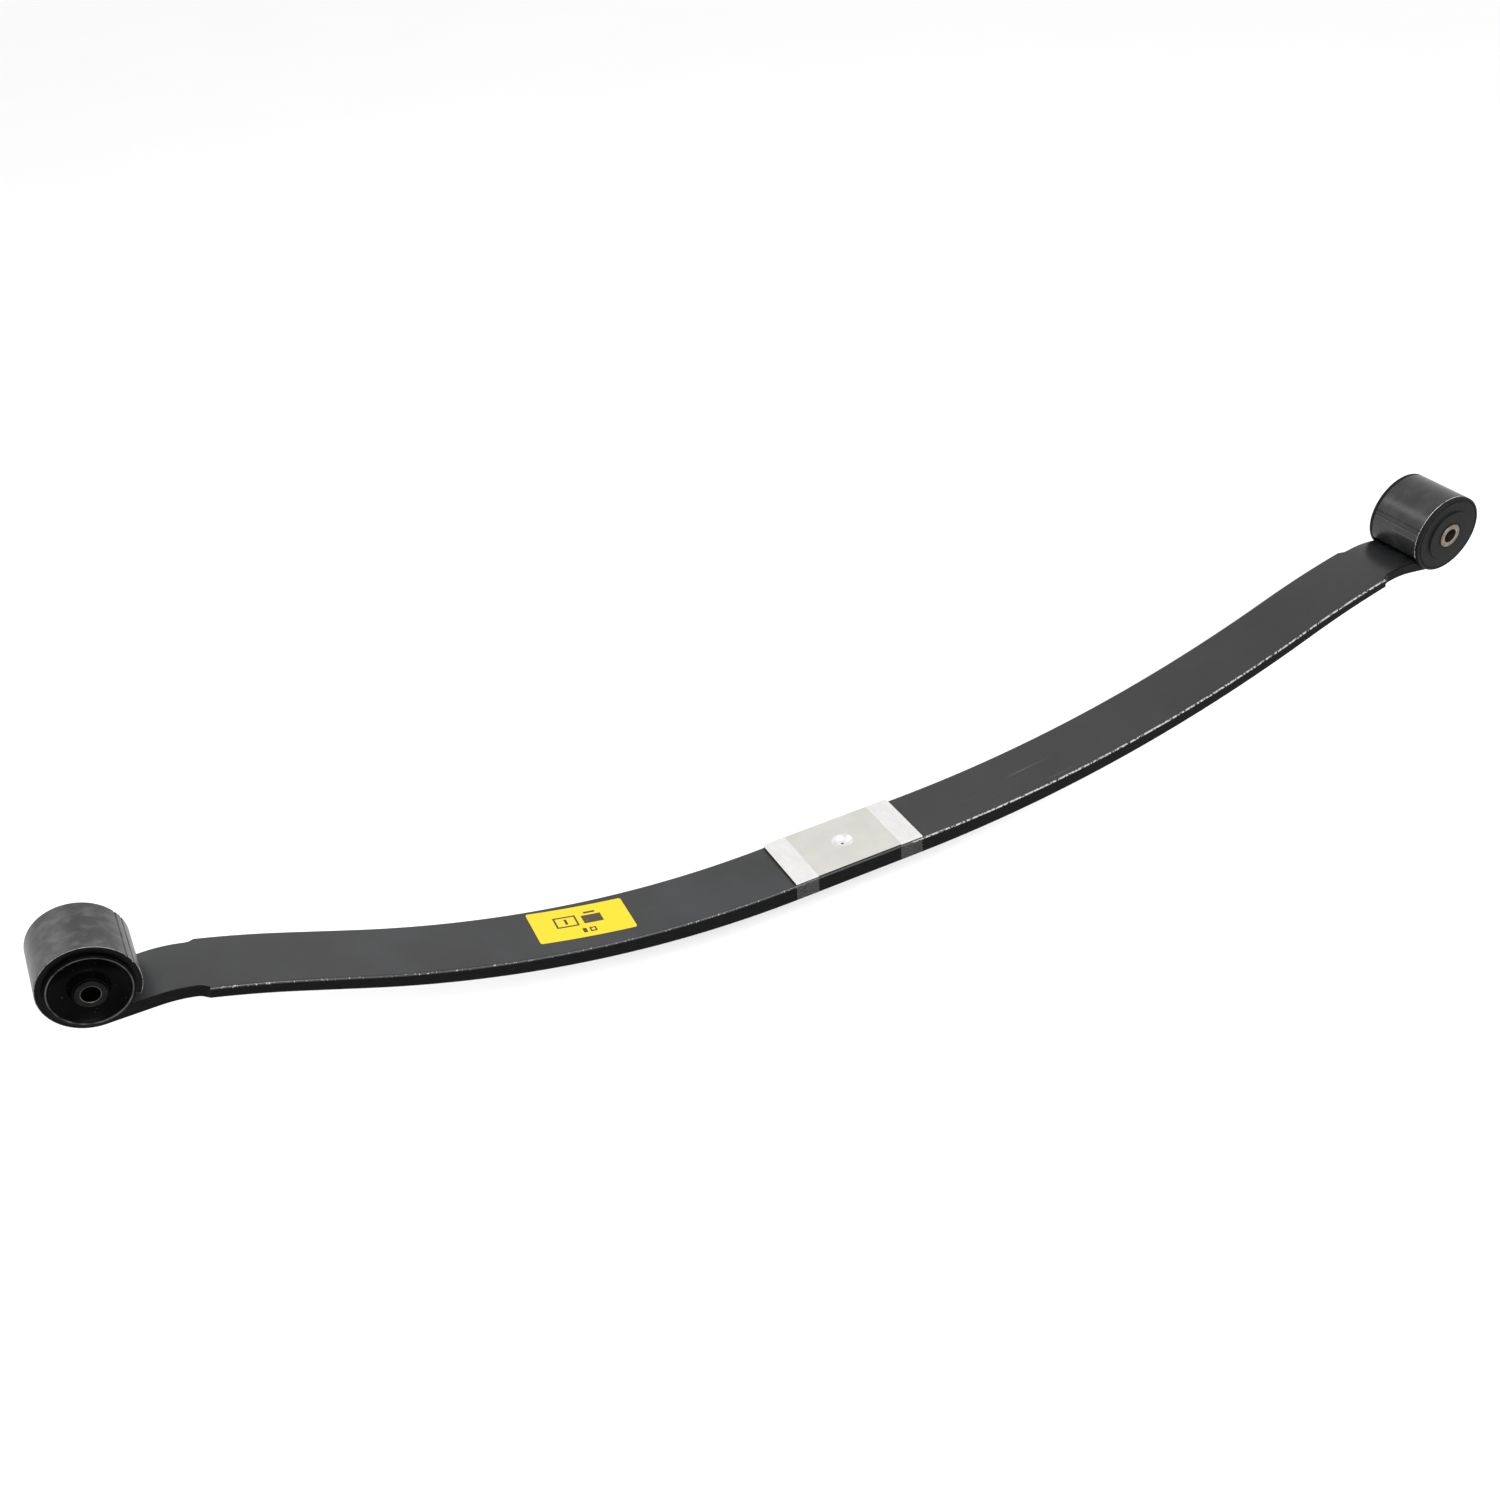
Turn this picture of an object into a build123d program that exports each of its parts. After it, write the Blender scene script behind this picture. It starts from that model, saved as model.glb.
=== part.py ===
"""Single-leaf parabolic spring of a light van: one tapered steel leaf with an upturned eye at
each end, a rubber bush in each eye, a dimpled seat plate and the two tape bands that hold it.

Frame: millimetres, X along the leaf (the rear eye at +X), Y across it, Z up.  The origin is the
centre of the leaf's underside, on the axis of the centre hole.
"""

import os
from dataclasses import dataclass
from math import cos, degrees, radians, sin, sqrt

from build123d import *

os.makedirs("parts", exist_ok=True)

# Leaf
LEAF_WIDTH = 70.0
SEAT_THICKNESS = 18.5
END_THICKNESS = 11.0
SEAT_MARGIN = 2.5  # flat length of the leaf beyond each end of the plate
EDGE_ROUND = 2.5
EYE_CROP = 5.0  # taken off each long edge beyond the shoulder
SHOULDER_CURVE = 8.5  # length of the hollow curve from the full width to the eye's width
EYE_DROP = 18.5
NECK_LEAD = 6.0
TIP_ANGLE = 16.0
ARM_STATIONS = 9

# Centre hole, and the pocket that the plate's dimple drops into
CENTRE_HOLE_RADIUS = 8.25
DIMPLE_RADIUS = 10.5
DIMPLE_FLOOR_RADIUS = 5.0
DIMPLE_DEPTH = 4.0
POCKET_CLEARANCE = 0.5

# Seat plate
PLATE_LENGTH = 139.0
PLATE_THICKNESS = 2.5
PLATE_CORNER_RADIUS = 4.0

# Tape bands
TAPE_WIDTH = 24.0
TAPE_THICKNESS = 0.3
TAPE_CORNER_RADIUS = TAPE_THICKNESS

# Label
LABEL_LENGTH = 92.0
LABEL_WIDTH = 46.0
LABEL_THICKNESS = 0.2
LABEL_X = -271.0
LABEL_Y = 5.0
LABEL_TURN = -2.1

# Eye bushes
BUSH_BOLT_HOLE_RADIUS = 7.25
INNER_SLEEVE_RADIUS = 12.0
INNER_SLEEVE_STANDOUT = 8.0  # how far the inner sleeve stands out of each side of the eye
OUTER_SLEEVE_RADIUS = 28.0
OUTER_SLEEVE_WALL = 1.5
SLEEVE_CHAMFER = 0.8
TURNING_CLEARANCE = 0.05
FACE_CLEARANCE = 0.2

# Front bush: dished rubber with a rounded rim
FRONT_RIM_OVERHANG = 5.5  # how far the rim reaches beyond the outer sleeve
FRONT_RIM_HEIGHT = 4.5
FRONT_RIM_ROUND = 1.8
FRONT_RIM_WIDTH = 4.0
FRONT_DISH_DEPTH = 3.5
FRONT_BOSS_WALL = 1.5
FRONT_BOSS_HEIGHT = 6.5

# Rear bush: flat rubber flange with a raised disc
REAR_FLANGE_HEIGHT = 4.5
REAR_RIM_WIDTH = 2.4
REAR_RIM_STEP = 0.9
REAR_DISC_RADIUS = 25.0
REAR_DISC_HEIGHT = 2.3

EYE_WIDTH = LEAF_WIDTH - 2 * EYE_CROP
EYE_BORE_RADIUS = OUTER_SLEEVE_RADIUS + TURNING_CLEARANCE
EYE_OUTER_RADIUS = EYE_BORE_RADIUS + END_THICKNESS
EYE_MIDDLE_RADIUS = EYE_BORE_RADIUS + END_THICKNESS / 2
INNER_SLEEVE_LENGTH = EYE_WIDTH + 2 * INNER_SLEEVE_STANDOUT
SEAT_HALF_LENGTH = PLATE_LENGTH / 2 + SEAT_MARGIN
PLATE_TOP = SEAT_THICKNESS + PLATE_THICKNESS


@dataclass(frozen=True)
class Arm:
    """Centre line of one half of the leaf, from the seat's edge out to the eye.

    side is -1 for the front arm and +1 for the rear one.  The arm curves up along the camber
    arc, runs straight, then eases back to end_angle at the shoulder.  The neck dips by
    dip_angle below that line before it wraps up round the eye.
    """

    side: int
    camber_radius: float
    camber_angle: float
    straight: float
    end_angle: float
    ease_radius: float
    neck_length: float
    dip_angle: float

    @property
    def camber_length(self):
        return self.camber_radius * radians(self.camber_angle)

    @property
    def ease_length(self):
        return self.ease_radius * radians(self.camber_angle - self.end_angle)

    @property
    def length(self):
        return self.camber_length + self.straight + self.ease_length

    def middle(self, run):
        """Outward distance, height and heading in degrees of the centre line after `run`."""
        turn = radians(self.camber_angle)
        bend = min(run, self.camber_length) / self.camber_radius
        out = SEAT_HALF_LENGTH + self.camber_radius * sin(bend)
        up = SEAT_THICKNESS / 2 + self.camber_radius * (1 - cos(bend))
        level = min(max(run - self.camber_length, 0.0), self.straight)
        out += level * cos(turn)
        up += level * sin(turn)
        ease = max(run - self.camber_length - self.straight, 0.0) / self.ease_radius
        out += self.ease_radius * (sin(turn) - sin(turn - ease))
        up += self.ease_radius * (cos(turn - ease) - cos(turn))
        return out, up, degrees(bend - ease)

    def thickness(self, run):
        """Parabolic taper: the thickness squared falls evenly from the seat to the shoulder."""
        drop = SEAT_THICKNESS**2 - END_THICKNESS**2
        return sqrt(SEAT_THICKNESS**2 - drop * run / self.length)

    def face_points(self, face, first=0.0, last=1.0, lift=0.0):
        """Points along the top (face=1) or underside (face=-1), between two shares of the arm."""
        points = []
        for station in range(ARM_STATIONS):
            share = first + (last - first) * station / (ARM_STATIONS - 1)
            out, up, heading = self.middle(share * self.length)
            reach = face * (self.thickness(share * self.length) / 2 + lift)
            out -= reach * sin(radians(heading))
            up += reach * cos(radians(heading))
            points.append((self.side * out, up))
        return points

    def heading_vector(self, heading):
        return (self.side * cos(radians(heading)), sin(radians(heading)))

    def at_shoulder(self, along, above):
        """Place given along and above the centre line's end, as X and Z."""
        out, up, heading = self.middle(self.length)
        turn = radians(heading)
        x = out + along * cos(turn) - above * sin(turn)
        z = up + along * sin(turn) + above * cos(turn)
        return (self.side * x, z)

    @property
    def eye_along(self):
        return self.neck_length + EYE_MIDDLE_RADIUS

    @property
    def eye_above(self):
        return EYE_MIDDLE_RADIUS - EYE_DROP

    @property
    def eye_centre(self):
        x, z = self.at_shoulder(self.eye_along, self.eye_above)
        return Vector(x, 0, z)

    @property
    def neck_radius(self):
        """Radius of the neck's bend that leaves it tangent to the eye at the dip angle."""
        dip = radians(self.dip_angle)
        rise = (self.eye_along - NECK_LEAD) * sin(dip) + self.eye_above * cos(dip)
        return (rise - EYE_MIDDLE_RADIUS) / (1 - cos(dip))

    def neck_point(self, angle, face):
        """Point on the neck's bend, `angle` degrees round it, on the top or the underside."""
        radius = self.neck_radius + face * END_THICKNESS / 2
        along = NECK_LEAD + radius * sin(radians(angle))
        above = radius * cos(radians(angle)) - self.neck_radius
        return self.at_shoulder(along, above)

    def eye_point(self, radius, angle):
        """Point round the eye, `angle` degrees up from the outward direction."""
        along = self.eye_along + radius * cos(radians(angle))
        above = self.eye_above + radius * sin(radians(angle))
        return self.at_shoulder(along, above)

    def draw(self):
        """Draw this arm's share of the leaf's side outline in the open BuildLine."""
        wrap_start = -90.0 - self.dip_angle
        wrap_end = 180.0 + TIP_ANGLE
        wrap_middle = (wrap_start + wrap_end) / 2
        radii = {1: EYE_BORE_RADIUS, -1: EYE_OUTER_RADIUS}
        for face, radius in radii.items():
            points = self.face_points(face)
            heading = self.middle(self.length)[2]
            Spline(points, tangents=[self.heading_vector(0), self.heading_vector(heading)])
            Line(points[-1], self.neck_point(0, face))
            ThreePointArc(
                self.neck_point(0, face),
                self.neck_point(self.dip_angle / 2, face),
                self.neck_point(self.dip_angle, face),
            )
            Line(self.neck_point(self.dip_angle, face), self.eye_point(radius, wrap_start))
            ThreePointArc(
                self.eye_point(radius, wrap_start),
                self.eye_point(radius, wrap_middle),
                self.eye_point(radius, wrap_end),
            )
        Line(self.eye_point(EYE_BORE_RADIUS, wrap_end), self.eye_point(EYE_OUTER_RADIUS, wrap_end))


FRONT = Arm(
    side=-1,
    camber_radius=1009.0,
    camber_angle=23.2,
    straight=58.0,
    end_angle=18.0,
    ease_radius=800.0,
    neck_length=54.5,
    dip_angle=17.0,
)
REAR = Arm(
    side=1,
    camber_radius=1358.0,
    camber_angle=19.8,
    straight=4.0,
    end_angle=13.0,
    ease_radius=800.0,
    neck_length=46.5,
    dip_angle=20.0,
)


def eye_plane(arm):
    """Plane through the eye's axis: its X is the radius and its Y runs along the axis."""
    return Plane(origin=arm.eye_centre, x_dir=(1, 0, 0), z_dir=(0, 0, 1))


def eye_axis(arm):
    return Axis(arm.eye_centre, (0, 1, 0))


# Leaf: side outline extruded to full width, its long edges rounded, then the ends cropped
with BuildPart() as main_leaf:
    with BuildSketch(Plane.XZ):
        with BuildLine():
            for height in (0.0, SEAT_THICKNESS):
                Line((-SEAT_HALF_LENGTH, height), (SEAT_HALF_LENGTH, height))
            FRONT.draw()
            REAR.draw()
        make_face()
    extrude(amount=LEAF_WIDTH / 2, both=True)
    side_faces = main_leaf.faces().filter_by(Axis.Y).sort_by(Axis.Y)
    long_edges = side_faces[0].edges() + side_faces[-1].edges()
    fillet([edge for edge in long_edges if edge.length > SEAT_HALF_LENGTH], EDGE_ROUND)
    for arm in (FRONT, REAR):
        shoulder_x = arm.at_shoulder(0, 0)[0]
        far_x = arm.eye_centre.X + arm.side * 2 * EYE_OUTER_RADIUS
        curve_end = (shoulder_x + arm.side * SHOULDER_CURVE, EYE_WIDTH / 2)
        with BuildSketch(Plane.XY):
            with BuildLine():
                TangentArc(curve_end, (shoulder_x, LEAF_WIDTH / 2), tangent=(-arm.side, 0))
                Polyline(
                    (shoulder_x, LEAF_WIDTH / 2),
                    (shoulder_x, LEAF_WIDTH),
                    (far_x, LEAF_WIDTH),
                    (far_x, EYE_WIDTH / 2),
                    curve_end,
                )
            make_face()
            mirror(about=Plane.XZ)
        extrude(amount=arm.eye_centre.Z + 2 * EYE_OUTER_RADIUS, mode=Mode.SUBTRACT)
    Hole(radius=CENTRE_HOLE_RADIUS)
    with BuildSketch(Plane.XY.offset(SEAT_THICKNESS)):
        Circle(DIMPLE_RADIUS + POCKET_CLEARANCE)
    extrude(amount=-(DIMPLE_DEPTH + POCKET_CLEARANCE), mode=Mode.SUBTRACT)
main_leaf.part.label = "main_leaf"

# Seat plate: flat sheet with a conical dimple pressed down at the centre
with BuildPart() as seat_plate:
    with BuildSketch(Plane.XY.offset(SEAT_THICKNESS)):
        RectangleRounded(PLATE_LENGTH, LEAF_WIDTH, PLATE_CORNER_RADIUS)
    extrude(amount=PLATE_THICKNESS)
    with BuildSketch(Plane.XZ):
        with BuildLine():
            Polyline(
                (0, SEAT_THICKNESS),
                (DIMPLE_RADIUS, SEAT_THICKNESS),
                (DIMPLE_FLOOR_RADIUS, SEAT_THICKNESS - DIMPLE_DEPTH),
                (0, SEAT_THICKNESS - DIMPLE_DEPTH),
                close=True,
            )
        make_face()
    revolve(axis=Axis.Z)
    with BuildSketch(Plane.XZ):
        with BuildLine():
            Polyline(
                (0, PLATE_TOP),
                (DIMPLE_RADIUS, PLATE_TOP),
                (DIMPLE_FLOOR_RADIUS, PLATE_TOP - DIMPLE_DEPTH),
                (0, PLATE_TOP - DIMPLE_DEPTH),
                close=True,
            )
        make_face()
    revolve(axis=Axis.Z, mode=Mode.SUBTRACT)
seat_plate.part.label = "seat_plate"
export_step(seat_plate.part, "parts/seat_plate.step")


def make_tape_band(side):
    """Tape wound once round the leaf and the plate, level with the plate's end."""
    middle_x = side * (PLATE_LENGTH - TAPE_WIDTH) / 2
    wall = 2 * TAPE_THICKNESS
    band_plane = Plane(origin=(middle_x, 0, PLATE_TOP / 2), x_dir=(0, 1, 0), z_dir=(1, 0, 0))
    with BuildPart() as band:
        with BuildSketch(band_plane):
            RectangleRounded(LEAF_WIDTH + wall, PLATE_TOP + wall, TAPE_CORNER_RADIUS)
            Rectangle(LEAF_WIDTH, PLATE_TOP, mode=Mode.SUBTRACT)
        extrude(amount=TAPE_WIDTH / 2, both=True)
    return band


for name, side in (("tape_band_front", -1), ("tape_band_rear", 1)):
    tape = make_tape_band(side)
    tape.part.label = name
    export_step(tape.part, f"parts/{name}.step")

# Label: thin sheet lying on the front arm's top face
with BuildPart() as load_label:
    with BuildSketch(Plane.XZ):
        with BuildLine():
            upper = FRONT.face_points(1, lift=LABEL_THICKNESS)
            lower = FRONT.face_points(1, lift=-END_THICKNESS / 4)
            Spline(upper)
            Spline(lower)
            Line(upper[0], lower[0])
            Line(upper[-1], lower[-1])
        make_face()
    extrude(amount=LEAF_WIDTH / 2, both=True)
    with BuildSketch(Plane.XY):
        with Locations((LABEL_X, LABEL_Y)):
            Rectangle(LABEL_LENGTH, LABEL_WIDTH, rotation=LABEL_TURN)
    extrude(amount=FRONT.eye_centre.Z, mode=Mode.INTERSECT)
    add(main_leaf.part, mode=Mode.SUBTRACT)
load_label.part.label = "load_label"
export_step(load_label.part, "parts/load_label.step")
export_step(main_leaf.part, "parts/main_leaf.step")


def make_tube(arm, outer, inner, length, chamfer_size):
    """Sleeve on the eye's axis with chamfered outer ends."""
    with BuildPart() as tube:
        with BuildSketch(Plane(origin=arm.eye_centre, x_dir=(1, 0, 0), z_dir=(0, 1, 0))):
            Circle(outer)
            Circle(inner, mode=Mode.SUBTRACT)
        extrude(amount=length / 2, both=True)
        rims = tube.edges().filter_by(GeomType.CIRCLE).sort_by(lambda edge: edge.radius)[-2:]
        chamfer(rims, chamfer_size)
    return tube


def make_rubber(arm, half_profile):
    """Rubber ring turned from half of its section, the same on both sides of the leaf."""
    with BuildPart() as rubber:
        with BuildSketch(eye_plane(arm)):
            with BuildLine():
                Polyline(*half_profile, close=True)
            make_face()
            mirror(about=Plane(origin=arm.eye_centre, x_dir=(1, 0, 0), z_dir=(0, 1, 0)))
        revolve(axis=eye_axis(arm))
    return rubber


rubber_bore = INNER_SLEEVE_RADIUS + TURNING_CLEARANCE
rubber_outside = OUTER_SLEEVE_RADIUS - OUTER_SLEEVE_WALL
eye_face = EYE_WIDTH / 2
rubber_seat = eye_face + FACE_CLEARANCE
front_boss = rubber_bore + FRONT_BOSS_WALL
front_rim = OUTER_SLEEVE_RADIUS + FRONT_RIM_OVERHANG

FRONT_PROFILE = [
    (rubber_bore, 0),
    (rubber_outside, 0),
    (rubber_outside, rubber_seat),
    (front_rim, rubber_seat),
    (front_rim, rubber_seat + FRONT_RIM_HEIGHT - FRONT_RIM_ROUND),
    (front_rim - FRONT_RIM_ROUND, rubber_seat + FRONT_RIM_HEIGHT),
    (front_rim - FRONT_RIM_WIDTH, rubber_seat + FRONT_RIM_HEIGHT - FRONT_RIM_ROUND),
    (front_boss + FRONT_BOSS_WALL, eye_face - FRONT_DISH_DEPTH),
    (front_boss, eye_face + FRONT_BOSS_HEIGHT - FRONT_BOSS_WALL),
    (rubber_bore, eye_face + FRONT_BOSS_HEIGHT),
]
rear_face = rubber_seat + REAR_FLANGE_HEIGHT
REAR_PROFILE = [
    (rubber_bore, 0),
    (rubber_outside, 0),
    (rubber_outside, rubber_seat),
    (EYE_OUTER_RADIUS, rubber_seat),
    (EYE_OUTER_RADIUS, rear_face - REAR_RIM_STEP),
    (EYE_OUTER_RADIUS - REAR_RIM_WIDTH, rear_face - REAR_RIM_STEP),
    (EYE_OUTER_RADIUS - REAR_RIM_WIDTH, rear_face),
    (REAR_DISC_RADIUS, rear_face),
    (REAR_DISC_RADIUS, rear_face + REAR_DISC_HEIGHT),
    (rubber_bore, rear_face + REAR_DISC_HEIGHT),
]

for end, arm, profile in (("front", FRONT, FRONT_PROFILE), ("rear", REAR, REAR_PROFILE)):
    outer_sleeve = make_tube(arm, OUTER_SLEEVE_RADIUS, rubber_outside, EYE_WIDTH, SLEEVE_CHAMFER)
    outer_sleeve.part.label = f"{end}_bush_outer_sleeve"
    export_step(outer_sleeve.part, f"parts/{end}_bush_outer_sleeve.step")
    rubber = make_rubber(arm, profile)
    rubber.part.label = f"{end}_bush_rubber"
    export_step(rubber.part, f"parts/{end}_bush_rubber.step")
    inner_sleeve = make_tube(
        arm, INNER_SLEEVE_RADIUS, BUSH_BOLT_HOLE_RADIUS, INNER_SLEEVE_LENGTH, SLEEVE_CHAMFER
    )
    inner_sleeve.part.label = f"{end}_bush_inner_sleeve"
    export_step(inner_sleeve.part, f"parts/{end}_bush_inner_sleeve.step")
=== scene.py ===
"""Looks of a light van's single-leaf spring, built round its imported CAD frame.

Everything is in metres, in the frame of the CAD part: X along the leaf with the rear eye at
+X, Y across it, Z up, and the origin under the centre hole on the leaf's underside.

The leaf is made the way a forge makes it.  A straight length of rounded bar stock is drawn
down in thickness, cropped narrower at its end, bent along its arm and rolled up into an eye.
"""

import logging
from dataclasses import dataclass, field
from enum import Enum
from functools import reduce
from math import asin, cos, hypot, pi, radians, sin, sqrt

import bmesh
import bpy
from mathutils import Matrix, Vector


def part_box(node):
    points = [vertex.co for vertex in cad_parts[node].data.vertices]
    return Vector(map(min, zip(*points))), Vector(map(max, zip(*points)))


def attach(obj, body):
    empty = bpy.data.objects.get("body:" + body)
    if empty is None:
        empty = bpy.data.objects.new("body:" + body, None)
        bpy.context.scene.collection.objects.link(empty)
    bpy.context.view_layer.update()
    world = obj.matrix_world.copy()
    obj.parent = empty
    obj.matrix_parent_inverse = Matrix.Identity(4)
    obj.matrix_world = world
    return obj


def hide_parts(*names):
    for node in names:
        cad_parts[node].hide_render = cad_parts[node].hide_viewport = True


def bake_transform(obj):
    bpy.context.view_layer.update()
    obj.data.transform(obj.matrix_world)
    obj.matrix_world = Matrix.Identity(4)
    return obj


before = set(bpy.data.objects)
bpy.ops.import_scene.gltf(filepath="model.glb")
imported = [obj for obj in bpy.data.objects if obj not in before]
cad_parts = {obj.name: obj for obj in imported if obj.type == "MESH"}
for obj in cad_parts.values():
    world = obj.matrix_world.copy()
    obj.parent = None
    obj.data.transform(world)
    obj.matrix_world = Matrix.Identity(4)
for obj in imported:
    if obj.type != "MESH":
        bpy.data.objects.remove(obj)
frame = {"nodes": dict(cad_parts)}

log = logging.getLogger("leaf_spring")

MM = 0.001

CIRCLE_STEPS = 64
UP_TO_YZ = Matrix(((0, 0, 1), (1, 0, 0), (0, 1, 0)))  # turns an XY outline into the YZ plane


# ---- Named options ----


class End(Enum):
    """Which end of the spring a piece belongs to, with its side along X."""

    FRONT = -1
    REAR = 1

    @property
    def word(self) -> str:
        """The end's name as the frame spells it."""
        return self.name.lower()


class LeafFace(Enum):
    """Material slots of the leaf's meshes."""

    BROAD = 0
    EDGE = 1


class PlateFace(Enum):
    """Material slots of the plate's mesh."""

    SHEET = 0
    DIMPLE = 1
    SIDE = 2


# ---- Node building ----


class Finish:
    """Base of the finishes: a new material and short ways to add its nodes."""

    def __init__(self, name: str) -> None:
        """Start a material of this name."""
        self.material = bpy.data.materials.new(name)
        self.material.use_nodes = True
        self.tree = self.material.node_tree
        self.shader = self.tree.nodes["Principled BSDF"]

    def node(self, kind: str, **settings: object) -> bpy.types.Node:
        """Add a node of a type such as "ShaderNodeMath", with its properties set."""
        made = self.tree.nodes.new(kind)
        for name, value in settings.items():
            setattr(made, name, value)
        return made

    def feed(self, socket: bpy.types.NodeSocket, value: object) -> None:
        """Link a socket's input, or set it where the value is a plain one."""
        if isinstance(value, bpy.types.NodeSocket):
            self.tree.links.new(value, socket)
        else:
            socket.default_value = value

    def set(self, **inputs: object) -> None:
        """Set or link inputs of the shader, named in lower case with underscores."""
        sockets = {socket.name.lower().replace(" ", "_"): socket for socket in self.shader.inputs}
        for name, value in inputs.items():
            self.feed(sockets[name], value)

    def place(self, scale: tuple[float, float, float] = (1, 1, 1),
              shift: tuple[float, float, float] = (0, 0, 0),
              attribute: str = "") -> bpy.types.NodeSocket:
        """Coordinates for a pattern.

        Args:
            scale: Stretch of the pattern along each axis.
            shift: Offset added after the stretch.
            attribute: Name of the mesh attribute to read, or "" for Object coordinates.

        Returns:
            The vector socket.
        """
        if attribute:
            source = self.node("ShaderNodeAttribute", attribute_name=attribute).outputs["Vector"]
        else:
            source = self.node("ShaderNodeTexCoord").outputs["Object"]
        mapping = self.node("ShaderNodeMapping")
        self.feed(mapping.inputs["Vector"], source)
        mapping.inputs["Scale"].default_value = scale
        mapping.inputs["Location"].default_value = shift
        return mapping.outputs["Vector"]

    def noise(self, vector: bpy.types.NodeSocket, scale: float, detail: float = 4.0,
              roughness: float = 0.5) -> bpy.types.NodeSocket:
        """Fractal noise, 0 to 1, at a scale in waves per metre."""
        texture = self.node("ShaderNodeTexNoise")
        self.feed(texture.inputs["Vector"], vector)
        texture.inputs["Scale"].default_value = scale
        texture.inputs["Detail"].default_value = detail
        texture.inputs["Roughness"].default_value = roughness
        return texture.outputs["Fac"]

    def calc(self, operation: str, *values: object) -> bpy.types.NodeSocket:
        """Result of a math node over sockets or numbers."""
        made = self.node("ShaderNodeMath", operation=operation)
        for socket, value in zip(made.inputs, values):
            self.feed(socket, value)
        return made.outputs[0]

    def times(self, *values: object) -> bpy.types.NodeSocket:
        """Product of sockets or numbers."""
        return reduce(lambda left, right: self.calc("MULTIPLY", left, right), values)

    def plus(self, *values: object) -> bpy.types.NodeSocket:
        """Sum of sockets or numbers."""
        return reduce(lambda left, right: self.calc("ADD", left, right), values)

    def spread(self, value: object, low: float, high: float, start: float = 0.0,
               end: float = 1.0) -> bpy.types.NodeSocket:
        """Smoothly remap a value from low..high to start..end, held beyond them."""
        made = self.node("ShaderNodeMapRange", interpolation_type="SMOOTHSTEP")
        for name, number in zip(("Value", "From Min", "From Max", "To Min", "To Max"),
                                (value, low, high, start, end)):
            self.feed(made.inputs[name], number)
        return made.outputs["Result"]

    def blend(self, share: object, first: object, second: object) -> bpy.types.NodeSocket:
        """Colour between two, by a share of 0 to 1."""
        made = self.node("ShaderNodeMix", data_type="RGBA")
        for index, value in ((0, share), (6, first), (7, second)):
            self.feed(made.inputs[index], value)
        return made.outputs[2]

    def split(self, vector: bpy.types.NodeSocket) -> list[bpy.types.NodeSocket]:
        """The vector's three parts."""
        made = self.node("ShaderNodeSeparateXYZ")
        self.feed(made.inputs[0], vector)
        return list(made.outputs)

    def reach(self, first: object, second: object) -> bpy.types.NodeSocket:
        """Distance from an axis, from the two coordinates across it."""
        return self.calc("SQRT", self.plus(self.times(first, first), self.times(second, second)))

    def around(self, centre: object) -> tuple[bpy.types.NodeSocket, bpy.types.NodeSocket]:
        """Coordinates from a bush's centre, and the distance from its axis along Y."""
        place = self.place(shift=(-centre[0], 0, -centre[2]))
        x, _, z = self.split(place)
        return place, self.reach(x, z)

    def turn_rings(self, radius: bpy.types.NodeSocket, waves: float, strength: float) -> None:
        """Add the fine rings that turning leaves, in radians per metre of radius."""
        self.relief(self.calc("SINE", self.times(radius, waves)), 0.004 * MM, strength)

    def relief(self, height: bpy.types.NodeSocket, depth: float, strength: float = 1.0) -> None:
        """Add a bump to the shader.

        Args:
            height: Height of the relief, 0 to 1.
            depth: Height in metres that 1 stands for.
            strength: Share of the bump that shows.
        """
        bump = self.node("ShaderNodeBump")
        self.feed(bump.inputs["Height"], height)
        bump.inputs["Distance"].default_value = depth
        bump.inputs["Strength"].default_value = strength
        normal = self.shader.inputs["Normal"]
        if normal.is_linked:
            self.feed(bump.inputs["Normal"], normal.links[0].from_socket)
        self.feed(normal, bump.outputs["Normal"])


def grey(level: float, warmth: float = 0.0) -> tuple[float, float, float, float]:
    """A grey in linear light, warmer above zero warmth and bluer below it."""
    return (level * (1 + warmth), level, level * (1 - warmth), 1.0)


# ---- Finishes ----


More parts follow.
